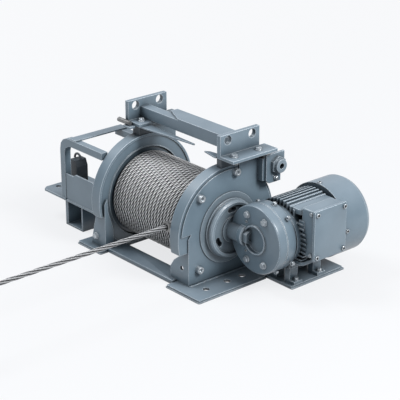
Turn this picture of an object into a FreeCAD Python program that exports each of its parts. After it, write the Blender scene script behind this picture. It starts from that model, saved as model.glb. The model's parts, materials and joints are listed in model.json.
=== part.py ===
import FreeCAD, Part
import math
import os
import Sketcher

Vector = FreeCAD.Vector
Rotation = FreeCAD.Rotation

doc = FreeCAD.newDocument("OverheadWinch")
sheet = doc.addObject("Spreadsheet::Sheet", "Sizes")


# A number together with the spreadsheet expression that gives it
class Size:
    def __init__(self, value, text):
        self.value = value
        self.text = text

    def join(self, other, sign, value):
        return Size(value, "(" + self.text + " " + sign + " " + as_size(other).text + ")")

    def __add__(self, other):
        return self.join(other, "+", self.value + as_size(other).value)

    def __sub__(self, other):
        return self.join(other, "-", self.value - as_size(other).value)

    def __mul__(self, other):
        return self.join(other, "*", self.value * as_size(other).value)

    def __truediv__(self, other):
        return self.join(other, "/", self.value / as_size(other).value)

    def __radd__(self, other):
        return as_size(other) + self

    def __rsub__(self, other):
        return as_size(other) - self

    def __rmul__(self, other):
        return as_size(other) * self

    def __neg__(self):
        return Size(-self.value, "(0 - " + self.text + ")")


def as_size(number):
    if isinstance(number, Size):
        return number
    return Size(float(number), repr(round(float(number), 4)))


# Driving dimensions in millimetres, degrees where the name says angle
driving = dict(
    faceX=155,            # outer face of the motor-side casing
    drumY=-51,            # drum axis, counted from the middle of the winch
    drumRise=26,            # drum axis above the ground, beyond the barrel radius
    casingSpan=256,         # outer face of one casing to the mouth of the other
    casingClear=46,         # casing radius beyond the barrel radius
    casingDepth=26,
    casingWall=5,
    bearingBore=56,
    shimPlate=2,
    footPlate=4,
    footFrontReach=27,      # foot plates in front of the leg webs
    footRearReach=14,
    footOutReach=66,        # foot plate beyond the outer face
    footInReach=8,          # foot plate inside the casing mouth
    footHole=7,
    legInset=24,            # leg webs inside the casing radius
    farLegOut=13,           # front leg of the far side, further out
    legWeb=5,
    legHeight=72,
    sidePlate=3,
    sideInset=6,            # side plate inside the casing radius
    earRise=7,              # square ear above the casing
    earWidth=74,
    ringInset=7,            # bearing ring inside the barrel radius
    ringLip=2.5,
    journalRadius=30,
    journalFit=0.06,
    runningGap=0.6,
    barrelRadius=82,
    barrelWall=8,
    flangeRise=15,          # drum flange beyond the barrel radius
    flangeThick=6,
    flangeGap=9,            # pan floor to drum flange
    ropeRadius=5.5,
    ropePitch=11.4,
    ropeTurns=20,
    hubRadius=62.3,
    hubLipRadius=59.9,
    hubThick=16,
    hubSlotRadius=41,
    shaftRadius=20,
    shaftFit=0.4,
    shaftReach=64,          # face of the casing to the end of the thick shaft
    nutAcross=30,
    nutThick=10,
    threadRadius=9,
    gearX=97,               # motor axis beyond the casing face
    gearY=-4,               # cover face seen from the drum axis
    gearDepth=48,
    gearRadius=67,
    headRadius=22,          # cross head that takes the shaft end
    headLong=13,
    recessRadius=27,        # recess in the gear case round the nut
    recessDepth=23,
    recessShift=10,
    lugRadius=8,
    motorRadius=61,
    boreRadius=48,
    motorLong=116,
    finReach=13,
    finThick=3,
    finPitch=9.5,
    coverRadius=80,
    coverLong=78,
    coverWall=2,
    rotorRadius=47,
    rotorShaft=11,
    fanRadius=66,
    boxWidth=80,
    boxHigh=85,
    boxDeep=33,
    boxBase=5,
    bracketLong=105,
    bracketTall=48,
    bracketThick=10,
    bracketOut=38,
    bracketLeg=6,
    padTall=21,             # brackets above the casing crown
    ledgeExtra=15,          # ledge longer than the upright web
    bracketHole=9.5,
    beamWide=22,
    beamTall=24,
    capPlateWide=42,
    beamWall=3,
    tieWide=52,
    tieTall=10,
    tieWall=3,
    frameLong=152,          # end frame beyond the far casing
    barSize=16,
    frameTop=202,           # top of the end frame above the foot plates
    strapWide=24,
    shelfRise=54,           # shelf above the foot plates
    shelfLong=226,          # from the far casing to the free end
    shelfWide=120,
    shelfThick=5,
    switchWide=30,
    switchTall=80,
    panelTall=66,
    rodRadius=5,
    eyeRadius=9.5,
    eyeInset=7,             # eye behind the front of the casing
    eyeClear=1.8,
    boltAcross=13,
    boltHead=6,
    boltPitch=55,
    capAcross=16,
    capHead=9,
)
for row, (name, number) in enumerate(driving.items(), start=1):
    sheet.set("A" + str(row), name)
    sheet.set("B" + str(row), str(number))
    sheet.setAlias("B" + str(row), name)
doc.recompute()


class Sizes:
    def __getattr__(self, name):
        return Size(float(driving[name]), "Sizes." + name)


s = Sizes()
AXIS_TURN = {
    "x": Rotation(Vector(0, 1, 0), 90),
    "y": Rotation(Vector(1, 0, 0), -90),
    "z": Rotation(),
}
nodes = []


def bind(item, **values):
    for name, number in values.items():
        size = as_size(number)
        setattr(item, name, size.value)
        item.setExpression(name, size.text)
    return item


def place(item, x=0, y=0, z=0, turn=None):
    spot = [as_size(x), as_size(y), as_size(z)]
    item.Placement = FreeCAD.Placement(Vector(*[size.value for size in spot]), turn or Rotation())
    for axis, size in zip("xyz", spot):
        item.setExpression("Placement.Base." + axis, size.text)
    return item


def node(item, label):
    item.Label = label
    nodes.append(item)
    return item


def block(name, low, high):
    item = doc.addObject("Part::Box", name)
    spans = [as_size(b) - as_size(a) for a, b in zip(low, high)]
    bind(item, Length=spans[0], Width=spans[1], Height=spans[2])
    return place(item, *low)


def round_bar(name, axis, foot, long, radius):
    item = doc.addObject("Part::Cylinder", name)
    bind(item, Radius=radius, Height=long)
    return place(item, *foot, turn=AXIS_TURN[axis])


def hex_bar(name, axis, foot, long, across):
    item = doc.addObject("Part::Prism", name)
    item.Polygon = 6
    bind(item, Circumradius=as_size(across) * 0.5774, Height=long)
    return place(item, *foot, turn=AXIS_TURN[axis])


def fuse(name, items):
    item = doc.addObject("Part::MultiFuse", name)
    item.Shapes = items
    return item


def cut(name, base, tools):
    item = doc.addObject("Part::Cut", name)
    item.Base = base
    item.Tool = tools[0] if len(tools) == 1 else fuse(name + "Tools", tools)
    return item


def group(name, items):
    item = doc.addObject("Part::Compound", name)
    item.Links = items
    return item


def sketch_on(body, role):
    plane = [item for item in body.Origin.OriginFeatures if item.Role == role][0]
    sketch = body.newObject("Sketcher::SketchObject", body.Name + "Sketch")
    sketch.AttachmentSupport = [(plane, "")]
    sketch.MapMode = "FlatFace"
    return sketch


def pin_point(sketch, geometry, point, x, y):
    for kind, number in (("DistanceX", x), ("DistanceY", y)):
        size = as_size(number)
        index = sketch.addConstraint(Sketcher.Constraint(kind, -1, 1, geometry, point, size.value))
        sketch.setExpression("Constraints[" + str(index) + "]", size.text)


def add_polygon(sketch, points):
    first = sketch.GeometryCount
    corners = [Vector(as_size(x).value, as_size(y).value, 0) for x, y in points]
    count = len(points)
    for index in range(count):
        sketch.addGeometry(Part.LineSegment(corners[index], corners[(index + 1) % count]))
    for index in range(count):
        following = first + (index + 1) % count
        sketch.addConstraint(Sketcher.Constraint("Coincident", first + index, 2, following, 1))
    for index, (x, y) in enumerate(points):
        pin_point(sketch, first + index, 1, x, y)


def add_circle(sketch, x, y, radius):
    size = as_size(radius)
    centre = Vector(as_size(x).value, as_size(y).value, 0)
    index = sketch.addGeometry(Part.Circle(centre, Vector(0, 0, 1), size.value))
    pin_point(sketch, index, 3, x, y)
    rule = sketch.addConstraint(Sketcher.Constraint("Radius", index, size.value))
    sketch.setExpression("Constraints[" + str(rule) + "]", size.text)


# A plate: outline and round holes in one sketch, padded towards the plus side
def padded(name, role, points, long, holes=(), corner=0):
    body = doc.addObject("PartDesign::Body", name)
    sketch = sketch_on(body, role)
    add_polygon(sketch, points)
    for x, y, radius in holes:
        add_circle(sketch, x, y, radius)
    pad = body.newObject("PartDesign::Pad", name + "Pad")
    pad.Profile = sketch
    pad.Reversed = role == "XZ_Plane"
    bind(pad, Length=long)
    if corner:
        normal = {"XZ_Plane": Vector(0, 1, 0), "YZ_Plane": Vector(1, 0, 0)}.get(role, Vector(0, 0, 1))
        doc.recompute()
        sides = []
        for index, edge in enumerate(pad.Shape.Edges, start=1):
            straight = isinstance(edge.Curve, Part.Line)
            if straight and abs(edge.tangentAt(edge.FirstParameter).dot(normal)) > 0.99:
                sides.append("Edge" + str(index))
        rounding = body.newObject("PartDesign::Fillet", name + "Corners")
        rounding.Base = (pad, sides)
        bind(rounding, Radius=corner)
    return body


# A turned piece: half section given as places along the axis and radii
def turned(name, axis, points, angle=360):
    body = doc.addObject("PartDesign::Body", name)
    sketch = sketch_on(body, "XY_Plane")
    if axis == "x":
        add_polygon(sketch, points)
    else:
        add_polygon(sketch, [(radius, along) for along, radius in points])
    revolution = body.newObject("PartDesign::Revolution", name + "Turn")
    revolution.Profile = sketch
    revolution.ReferenceAxis = (sketch, ["H_Axis" if axis == "x" else "V_Axis"])
    revolution.Angle = angle
    return body


# Places shared by several pieces
ground = 0
shim_top = s.shimPlate
foot_top = s.shimPlate + s.footPlate
face = s.faceX
mouth = face - s.casingDepth
far_mouth = face - s.casingSpan
far_face = far_mouth - s.casingDepth
drum_z = s.barrelRadius + s.drumRise
casing_radius = s.barrelRadius + s.casingClear
flange_radius = s.barrelRadius + s.flangeRise
ring_radius = s.barrelRadius - s.ringInset
side_radius = casing_radius - s.sideInset
leg_span = casing_radius - s.legInset
leg_front = s.drumY - leg_span
leg_rear = s.drumY + leg_span
far_leg_front = leg_front - s.farLegOut
bracket_z = drum_z + casing_radius + s.padTall
ear_top = drum_z + casing_radius + s.earRise
bracket_y = s.drumY - 21
gear_face = s.drumY + s.gearY
gear_back = gear_face + s.gearDepth
motor_x = face + s.gearX
motor_back = gear_back + s.motorLong
cover_front = motor_back
cover_back = cover_front + s.coverLong
drum_low = far_face + s.casingWall + s.flangeGap
drum_high = face - s.casingWall - s.flangeGap
wraps_low = drum_low + s.flangeThick
wraps_long = s.ropeTurns * s.ropePitch


# Casings: pans turned about the drum axis, cut off at the foot plates and behind the leg webs
def casing(label, outer, inward, web_front, extra=()):
    floor = inward * s.casingWall
    depth = inward * s.casingDepth
    inner = casing_radius - s.casingWall
    pan = turned(label + "Pan", "x", [
        (0, s.bearingBore), (0, casing_radius), (depth, casing_radius),
        (depth, inner), (floor, inner), (floor, s.bearingBore)])
    place(pan, outer, s.drumY, drum_z)
    low = outer - s.casingDepth - 1
    high = outer + s.casingDepth + 1
    reach = casing_radius + 1
    below = block(label + "Below", (low, s.drumY - reach, drum_z - reach), (high, s.drumY + reach, foot_top))
    front = block(label + "Front", (low, s.drumY - reach, foot_top - 1),
                  (high, web_front + s.legWeb, foot_top + s.legHeight))
    rear = block(label + "Rear", (low, leg_rear - s.legWeb, foot_top - 1),
                 (high, s.drumY + reach, foot_top + s.legHeight))
    whole = fuse(label + "Whole", [pan] + list(extra)) if extra else pan
    return node(cut(label + "Cut", whole, [below, front, rear]), label)


# Face plate in the mouth of the far casing, down to the foot plate, with a lip round the drum opening
plate_low = far_mouth - 6
plate_thick = 3
opening_radius = flange_radius + 3
face_disc = round_bar("FaceDisc", "x", (plate_low, s.drumY, drum_z), plate_thick, casing_radius - 2)
face_leg = block("FaceLeg", (plate_low, far_leg_front + s.legWeb, foot_top),
                 (plate_low + plate_thick, leg_rear - s.legWeb, drum_z))
face_bore = round_bar("FaceBore", "x", (plate_low - 1, s.drumY, drum_z), plate_thick + 2, opening_radius)
face_lip = turned("FaceLip", "x", [
    (-1, opening_radius - 1), (plate_thick + 2, opening_radius - 1), (plate_thick + 2, opening_radius + 1),
    (-1, opening_radius + 1)])
place(face_lip, plate_low, s.drumY, drum_z)
face_plate = fuse("FacePlate", [cut("FacePlateCut", fuse("FacePlateRaw", [face_disc, face_leg]), [face_bore]), face_lip])

casing("casing_motor_side", face, -1, leg_front)
casing("casing_far_side", far_face, 1, far_leg_front, [face_plate])


# Leg webs stand on the foot plates across the casing ends
def leg_web(name, low_x, high_x, y, hole_x=None):
    wide = high_x - low_x
    points = [(0, 0), (wide, 0), (wide, s.legHeight)]
    holes = []
    if hole_x:
        points += [(wide * 0.85, s.legHeight), (wide * 0.2, s.legHeight * 0.62)]
        points += [(0, s.legHeight * 0.4)]
        holes.append((hole_x - low_x, s.legHeight * 0.47, 5))
    else:
        points += [(wide * 0.42, s.legHeight), (wide * 0.1, s.legHeight * 0.3)]
    web = padded(name, "XZ_Plane", points, s.legWeb, holes)
    return place(web, low_x, y, foot_top)


motor_leg_low = mouth - 27
far_leg_high = far_mouth
far_leg_low = far_face - 19
motor_webs = [
    leg_web("WebMotorFront", motor_leg_low, face, leg_front, face - 18),
    leg_web("WebMotorRear", motor_leg_low, face, leg_rear - s.legWeb, face - 18)]
far_webs = [
    leg_web("WebFarFront", far_leg_low, far_leg_high, far_leg_front),
    leg_web("WebFarRear", far_leg_low, far_leg_high, leg_rear - s.legWeb)]

# Narrow leg strip beside the mouth of the far casing
strip = padded("LegStripFar", "YZ_Plane", [
    (0, 0), (22, 0), (22, 40), (8, 85), (7, 112), (0, 101)], 4)
far_webs.append(place(strip, far_mouth, far_leg_front, foot_top))


# Side frames: disc, legs and a square ear, bored for the bearing ring, with their leg webs
def side_frame(label, low_x, web_front, webs):
    high_x = low_x + s.sidePlate
    disc = round_bar(label + "Disc", "x", (low_x, s.drumY, drum_z), s.sidePlate, side_radius)
    ear = block(label + "Ear", (low_x, s.drumY + 30, drum_z + 20),
                (high_x, s.drumY + 30 + s.earWidth, ear_top))
    skirt_top = drum_z + 9
    skirt = block(label + "Skirt", (low_x, s.drumY - side_radius - 1, foot_top - side_radius),
                  (high_x, s.drumY + side_radius + 1, skirt_top))
    upper = cut(label + "Upper", disc, [skirt])
    front = web_front - s.drumY
    leg = padded(label + "Leg", "YZ_Plane", [
        (front, foot_top - drum_z), (leg_span, foot_top - drum_z),
        (leg_span, 0), (leg_span - 8, 10), (front + 8, 10), (front, 0)], s.sidePlate)
    place(leg, low_x, s.drumY, drum_z)
    whole = fuse(label + "Whole", [upper, ear, leg])
    bore = round_bar(label + "Bore", "x", (low_x - 1, s.drumY, drum_z), s.sidePlate + 2, s.bearingBore)
    plate = cut(label + "Cut", whole, [bore])
    return node(fuse(label + "Frame", [plate] + webs), label)


side_frame("side_frame_motor", face, leg_front, motor_webs)
side_frame("side_frame_far", far_face - s.sidePlate, far_leg_front, far_webs)


# Foot plates lie on thin shims that stick out all round
def foot(label, low_x, high_x, web_front, holes, notch=None):
    low_y = web_front - s.footFrontReach
    high_y = leg_rear + s.footRearReach

    def outline(edge):
        points = [(low_x - edge, low_y - edge), (high_x + edge, low_y - edge)]
        if notch:
            points += [(high_x + edge, notch[1]), notch]
            points += [(notch[0], high_y + edge)]
        else:
            points += [(high_x + edge, high_y + edge)]
        return points + [(low_x - edge, high_y + edge)]

    plate_holes = [(x, y, s.footHole) for x, y in holes]
    shim_holes = [(x, y, s.footHole + 1) for x, y in holes]
    plate = padded(label + "Plate", "XY_Plane", outline(0), s.footPlate, plate_holes, 3)
    place(plate, 0, 0, shim_top)
    shim = padded(label + "Shim", "XY_Plane", outline(2), s.shimPlate, shim_holes, 4)
    return node(fuse(label + "Whole", [plate, shim]), label)


motor_foot_high = face + s.footOutReach
foot_hole_x = face + 33
far_foot_low = far_face - 44
foot("foot_plate_motor", mouth - s.footInReach, motor_foot_high, leg_front, [
    (foot_hole_x, s.drumY - 84), (foot_hole_x, s.drumY - 27), (foot_hole_x, s.drumY + 13)],
    (face + 48, gear_back + 6))
foot("foot_plate_far", far_foot_low, far_mouth + s.footInReach, far_leg_front + 10, [
    (far_foot_low + 14, s.drumY - 84), (far_foot_low + 14, s.drumY + 84)])


# Tie channels join the two pairs of legs near the ground
def tie(label, low_y):
    high_y = low_y + s.tieWide
    low_x = far_mouth + s.footInReach + 2
    outer = block(label + "Outer", (low_x, low_y, 0), (motor_leg_low, high_y, s.tieTall))
    inner = block(label + "Inner", (low_x - 1, low_y + s.tieWall, -1),
                  (motor_leg_low + 1, high_y - s.tieWall, s.tieTall - s.tieWall))
    return node(cut(label + "Cut", outer, [inner]), label)


tie("tie_front", leg_front - 18)
tie("tie_rear", leg_rear - s.tieWide + 18)


# Bearing housings, and the cap over the far one
def housing(label, outer, out):
    lip = s.sidePlate + s.ringLip
    ring = turned(label, "x", [
        (-9 * out, s.journalRadius + s.journalFit), (lip * out, s.journalRadius + s.journalFit),
        (lip * out, ring_radius), (s.sidePlate * out, ring_radius),
        (s.sidePlate * out, s.bearingBore), (-9 * out, s.bearingBore)])
    return node(place(ring, outer, s.drumY, drum_z), label)


housing("bearing_ring_motor", face, 1)
housing("bearing_ring_far", far_face, -1)
lip_reach = s.sidePlate + s.ringLip
cap_low = far_face - lip_reach - 20
cap = turned("BearingCap", "x", [
    (0, 0), (0, 48), (4, 52), (20, 52), (20, 36), (4, 36), (4, 0)])
node(place(cap, cap_low, s.drumY, drum_z), "bearing_cap")

# Drum: open barrel with two flanges, and a turned shaft with hub discs
inner_barrel = s.barrelRadius - s.barrelWall
drum_long = drum_high - drum_low
barrel = turned("Barrel", "x", [
    (0, inner_barrel), (0, flange_radius), (s.flangeThick, flange_radius),
    (s.flangeThick, s.barrelRadius), (drum_long - s.flangeThick, s.barrelRadius),
    (drum_long - s.flangeThick, flange_radius), (drum_long, flange_radius), (drum_long, inner_barrel)])
node(place(barrel, drum_low, s.drumY, drum_z), "drum_barrel")

hub_face = s.sidePlate + s.ringLip + s.runningGap
shaft_low = cap_low + 8 - face
disc_low = drum_low - face
disc_high = drum_high - face
shaft = turned("Shaft", "x", [
    (shaft_low, 0), (shaft_low, s.journalRadius), (disc_low, s.journalRadius),
    (disc_low, inner_barrel), (disc_low + 8, inner_barrel), (disc_low + 8, 26),
    (disc_high - 8, 26), (disc_high - 8, inner_barrel), (disc_high, inner_barrel),
    (disc_high, s.journalRadius), (hub_face, s.journalRadius), (hub_face, s.shaftRadius),
    (s.shaftReach, s.shaftRadius), (s.shaftReach, s.threadRadius),
    (s.shaftReach + s.nutThick - 3, s.threadRadius), (s.shaftReach + s.nutThick - 3, 0)])
node(place(shaft, face, s.drumY, drum_z), "drum_shaft")

# Stepped hub on the shaft, dished, with three oblong holes
hub_end = hub_face + s.hubThick
hub = turned("Hub", "x", [
    (hub_face, s.shaftRadius), (hub_face, s.hubRadius), (hub_face + 3, s.hubRadius),
    (hub_face + 5, s.hubRadius - 4), (hub_face + 9, s.hubRadius - 1.2), (hub_end - 3, s.hubLipRadius),
    (hub_end, s.hubLipRadius - 3), (hub_end, s.hubLipRadius - 8), (hub_end - 6, s.hubLipRadius - 11),
    (hub_end - 6, 28), (hub_end - 2, 27.5), (hub_end - 2, s.shaftRadius)])
place(hub, face, s.drumY, drum_z)
slots = []
for index in range(3):
    around = math.radians(90 + 120 * index)
    for step in (-1, 0, 1):
        angle = around + step * math.radians(8)
        slots.append(round_bar("HubSlot" + str(index) + str(step + 1), "x", (
            face + hub_face - 1, s.drumY + s.hubSlotRadius * math.cos(angle),
            drum_z + s.hubSlotRadius * math.sin(angle)), s.hubThick + 2, 5.5))
node(cut("HubCut", hub, slots), "drive_hub")
# Wound rope: one closed ring-shaped solid with a crest for every turn
wrap_points = [(0, s.barrelRadius), (0, s.barrelRadius + s.ropeRadius)]
for turn in range(int(s.ropeTurns.value)):
    start = s.ropePitch * turn
    wrap_points.append((start + s.ropePitch * 0.5, s.barrelRadius + s.ropeRadius * 2))
    wrap_points.append((start + s.ropePitch, s.barrelRadius + s.ropeRadius * 1.3))
wrap_points.append((wraps_long, s.barrelRadius))
wraps = turned("Wraps", "x", wrap_points)
node(place(wraps, wraps_low, s.drumY, drum_z), "rope_wraps")

# Gear case on the motor axis: grooved drum-shaped case, raised ring and a cross head for the shaft
gear = turned("GearBody", "y", [
    (0, 0), (0, s.gearRadius - 3), (3, s.gearRadius), (18, s.gearRadius), (18, s.gearRadius - 1.5),
    (20, s.gearRadius - 1.5), (20, s.gearRadius), (s.gearDepth - 6, s.gearRadius),
    (s.gearDepth, s.gearRadius - 5), (s.gearDepth, 0)])
place(gear, motor_x, gear_face, drum_z)
recess_x = motor_x - s.recessShift
raised = turned("GearRing", "y", [
    (-3, s.recessRadius), (-3, s.recessRadius + 2), (-1, s.recessRadius + 4), (1, s.recessRadius + 4),
    (1, s.recessRadius)])
place(raised, recess_x, gear_face, drum_z)
recess = round_bar("GearRecess", "y", (recess_x, gear_face - 1, drum_z), s.recessDepth + 1, s.recessRadius)
head_low = face + s.shaftReach - s.headLong
head = round_bar("GearHead", "x", (head_low, s.drumY, drum_z), s.headLong - 1, s.headRadius)
nut_low = face + s.shaftReach
nut_way = round_bar("NutWay", "x", (nut_low - 1, s.drumY, drum_z), s.nutThick + 6, 20)
lugs = []
for index, angle in enumerate((48, 82, 120, 240, 285, 330)):
    turn = math.radians(angle)
    reach = s.gearRadius + 3
    lugs.append(round_bar("GearLug" + str(index), "y", (
        motor_x + reach * math.cos(turn), gear_back - 11, drum_z + reach * math.sin(turn)), 11, s.lugRadius))
shaft_way = round_bar("ShaftWay", "x", (face + hub_face, s.drumY, drum_z), s.shaftReach, s.shaftRadius + s.shaftFit)
rotor_way = round_bar("RotorWay", "y", (motor_x, gear_back - 14, drum_z), 15, s.rotorShaft + s.runningGap)
hollow_gear = cut("GearHollow", gear, [recess, nut_way])
node(cut("GearCut", fuse("GearWhole", [hollow_gear, raised, head] + lugs), [shaft_way, rotor_way]), "gear_case")

# Nut on the threaded shaft end
thread_way = round_bar("NutBore", "x", (nut_low - 1, s.drumY, drum_z), s.nutThick + 2, s.threadRadius)
nut_hex = hex_bar("ShaftNutHex", "x", (nut_low, s.drumY, drum_z), s.nutThick, s.nutAcross)
node(cut("ShaftNutCut", nut_hex, [thread_way]), "shaft_nut")

# Motor: bored frame with fins all round, kept inside a round envelope
tube = turned("MotorTube", "y", [
    (0, s.boreRadius), (0, s.motorRadius), (s.motorLong, s.motorRadius), (s.motorLong, s.boreRadius)])
place(tube, motor_x, gear_back, drum_z)
fin_tip = s.motorRadius + s.finReach
fins = []
for index in range(-4, 5):
    offset = s.finPitch * index
    for up in (True, False):
        name = "Fin" + ("Up" if up else "Side") + str(index + 4)
        half = s.finThick / 2
        if up:
            fins.append(block(name, (motor_x + offset - half, gear_back + 10, drum_z - fin_tip),
                              (motor_x + offset + half, motor_back - 8, drum_z + fin_tip)))
        else:
            fins.append(block(name, (motor_x - fin_tip, gear_back + 10, drum_z + offset - half),
                              (motor_x + fin_tip, motor_back - 8, drum_z + offset + half)))
envelope = round_bar("FinEnvelope", "y", (motor_x, gear_back, drum_z), s.motorLong, fin_tip)
clipped = doc.addObject("Part::MultiCommon", "FinsClipped")
clipped.Shapes = [fuse("FinsAll", fins), envelope]
core = round_bar("FinCore", "y", (motor_x, gear_back - 1, drum_z), s.motorLong + 2, s.motorRadius - 1)
finned = cut("FinsCut", clipped, [core])

# Four sloping feet and the smooth side pad, cast on the frame
foot_rise = drum_z - foot_top
foot_long = 22
foot_rows = (gear_back + 16, motor_back - 12 - foot_long)
castings = []
for row, row_y in enumerate(foot_rows):
    for side, sign in (("Near", 1), ("Away", -1)):
        leg = padded("MotorFoot" + side + str(row), "XZ_Plane", [
            (sign * 12, 0), (sign * 40, 0), (sign * 40, 7), (sign * 26, 7), (sign * 28, foot_rise - 50),
            (sign * 12, foot_rise - s.motorRadius * 0.96)], foot_long)
        castings.append(place(leg, motor_x, row_y, foot_top))
saddle = block("Saddle", (motor_x + s.boreRadius + 4, gear_back + 12, drum_z + 28),
               (motor_x + s.motorRadius + 6, motor_back - 10, drum_z + 46))
saddle_core = round_bar("SaddleCore", "y", (motor_x, gear_back, drum_z), s.motorLong, s.motorRadius - 1)
castings.append(cut("SaddleCut", saddle, [saddle_core]))
box_low_x = motor_x + s.motorRadius - 1
box_y = gear_back + 27
box_z = drum_z - s.boxHigh / 2
box_space = block("BoxSpace", (box_low_x, box_y - 3, box_z - 3),
                  (box_low_x + 40, box_y + s.boxWidth + 3, box_z + s.boxHigh + 3))
node(cut("MotorFrameCut", fuse("MotorFrameWhole", [tube, finned] + castings), [box_space]), "motor_frame")

rear_shield = turned("RearShield", "y", [
    (0, s.rotorShaft + s.journalFit), (0, s.motorRadius + 2), (6, s.motorRadius + 2),
    (12, 30), (14, 30), (14, s.rotorShaft + s.journalFit)])
place(rear_shield, motor_x, motor_back, drum_z)
lug_low = motor_back + 2
lug_bars = [
    block("LugBarX", (motor_x - s.coverRadius, lug_low, drum_z - 7), (motor_x + s.coverRadius, lug_low + 6, drum_z + 7)),
    block("LugBarZ", (motor_x - 7, lug_low, drum_z - s.coverRadius), (motor_x + 7, lug_low + 6, drum_z + s.coverRadius))]
lug_core = round_bar("LugCore", "y", (motor_x, motor_back, drum_z), 10, s.motorRadius)
lug_trim = turned("LugTrim", "y", [
    (0, s.coverRadius - s.coverWall), (0, s.coverRadius + 5), (10, s.coverRadius + 5), (10, s.coverRadius - s.coverWall)])
place(lug_trim, motor_x, motor_back, drum_z)
cover_lugs = cut("CoverLugs", fuse("LugCross", lug_bars), [lug_core, lug_trim])
node(fuse("RearShieldWhole", [rear_shield, cover_lugs]), "motor_rear_shield")

# Rotor: core, shaft and a fan of straight blades behind the rear shield
core_low = 6
rotor_end = s.motorLong + 44
rotor = turned("RotorBody", "y", [
    (-12, 0), (-12, s.rotorShaft), (core_low, s.rotorShaft), (core_low, s.rotorRadius),
    (s.motorLong - 8, s.rotorRadius), (s.motorLong - 8, s.rotorShaft), (rotor_end, s.rotorShaft), (rotor_end, 0)])
node(place(rotor, motor_x, gear_back, drum_z), "rotor")
fan_y = motor_back + 19
fan_hub = turned("FanHub", "y", [
    (0, s.rotorShaft), (0, 22), (6, 22), (8, s.fanRadius), (10, s.fanRadius), (22, 22), (22, s.rotorShaft)])
place(fan_hub, motor_x, fan_y, drum_z)
blades = []
for index in range(8):
    copy = doc.addObject("Part::Box", "FanBlade" + str(index))
    bind(copy, Length=s.fanRadius - 20, Width=18, Height=2.4)
    angle = 360 * index / 8
    turn = Rotation(Vector(0, 1, 0), angle)
    corner = turn.multVec(Vector(20, 0, -1.2))
    place(copy, motor_x + corner.x, fan_y + 7, drum_z + corner.z, turn)
    blades.append(copy)
node(fuse("FanWhole", [fan_hub] + blades), "fan")

# Fan cover: rounded cup with a ring of slots and a round grille in its end
cover = turned("CoverCup", "y", [
    (0, s.coverRadius - s.coverWall), (0, s.coverRadius), (s.coverLong - 12, s.coverRadius),
    (s.coverLong - 4, s.coverRadius - 4), (s.coverLong, s.coverRadius - 12), (s.coverLong, 0),
    (s.coverLong - s.coverWall, 0), (s.coverLong - s.coverWall, s.coverRadius - 13),
    (s.coverLong - 5, s.coverRadius - 6), (s.coverLong - 13, s.coverRadius - s.coverWall)])
place(cover, motor_x, cover_front, drum_z)
grille = []
for ring, (inner, outer, count) in enumerate(((16, 34, 10), (40, 60, 20))):
    for index in range(count):
        slot = doc.addObject("Part::Box", "Grille" + str(ring) + "n" + str(index))
        bind(slot, Length=outer - inner, Width=s.coverWall + 2, Height=4.5)
        turn = Rotation(Vector(0, 1, 0), 360 * index / count)
        corner = turn.multVec(Vector(inner, 0, -2.25))
        place(slot, motor_x + corner.x, cover_back - s.coverWall - 1, drum_z + corner.z, turn)
        grille.append(slot)
node(cut("CoverCut", cover, grille), "fan_cover")

# Terminal box on the plus X side of the frame
base = padded("BoxBase", "YZ_Plane", [
    (6, 6), (s.boxWidth - 6, 6), (s.boxWidth - 6, s.boxHigh - 6), (6, s.boxHigh - 6)], s.boxBase, corner=3)
place(base, box_low_x, box_y, box_z)
box_body = padded("BoxBody", "YZ_Plane", [
    (0, 0), (s.boxWidth, 0), (s.boxWidth, s.boxHigh), (0, s.boxHigh)], s.boxDeep - 6, corner=4)
box_x = box_low_x + s.boxBase
place(box_body, box_x, box_y, box_z)
node(fuse("BoxWhole", [base, box_body]), "terminal_box")
lid = padded("BoxLid", "YZ_Plane", [
    (-1.5, -1.5), (s.boxWidth + 1.5, -1.5), (s.boxWidth + 1.5, s.boxHigh + 1.5), (-1.5, s.boxHigh + 1.5)], 6, corner=4)
lid_x = box_x + s.boxDeep - 6
node(place(lid, lid_x, box_y, box_z), "terminal_lid")

# Motor base plate on its shim
plate_low = motor_x - 40
plate_high = motor_x + 40
plate_front = gear_back + 7
plate_rear = cover_front + 40
plate_wide = plate_high - plate_low
plate_deep = plate_rear - plate_front
motor_plate = padded("MotorPlate", "XY_Plane", [
    (0, 0), (plate_wide, 0), (plate_wide, plate_deep), (0, plate_deep)], s.footPlate, corner=4)
place(motor_plate, plate_low, plate_front, shim_top)
motor_shim = padded("MotorShim", "XY_Plane", [
    (0, 0), (plate_wide + 3, 0), (plate_wide + 3, plate_deep + 3), (0, plate_deep + 3)], s.shimPlate, corner=4)
place(motor_shim, plate_low, plate_front, ground)
node(fuse("MotorPlateWhole", [motor_plate, motor_shim]), "motor_plate")


# Angle brackets on top, with the pads below them
def bracket(label, wall_x):
    web = padded(label + "Web", "YZ_Plane", [
        (0, 0), (s.bracketLong, 0), (s.bracketLong, s.bracketTall), (0, s.bracketTall)], s.bracketThick,
        [(s.bracketLong / 2 - s.boltPitch / 2 - 5, s.bracketTall - 12, s.bracketHole),
         (s.bracketLong / 2 + s.boltPitch / 2 + 5, s.bracketTall - 12, s.bracketHole)])
    place(web, wall_x - s.bracketThick, bracket_y, bracket_z)
    ledge = block(label + "Ledge", (wall_x - 1, bracket_y, bracket_z),
                  (wall_x + s.bracketOut, bracket_y + s.bracketLong + s.ledgeExtra, bracket_z + s.bracketLeg))
    return node(fuse(label + "Whole", [web, ledge]), label)


def crown_pad(name, low_x, high_x):
    low_y = s.drumY - 15
    high_y = s.drumY + 21
    raw = block(name + "Raw", (low_x, low_y, drum_z + casing_radius - 6), (high_x, high_y, bracket_z))
    under = round_bar(name + "Under", "x", (low_x - 1, s.drumY, drum_z), high_x - low_x + 2, casing_radius)
    return cut(name + "Cut", raw, [under])


def ear_pad(name, low_x, high_x):
    pad_y = s.drumY + 30 + s.earWidth - 24
    return block(name, (low_x, pad_y - 16, ear_top), (high_x, pad_y + 14, bracket_z))


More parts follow.
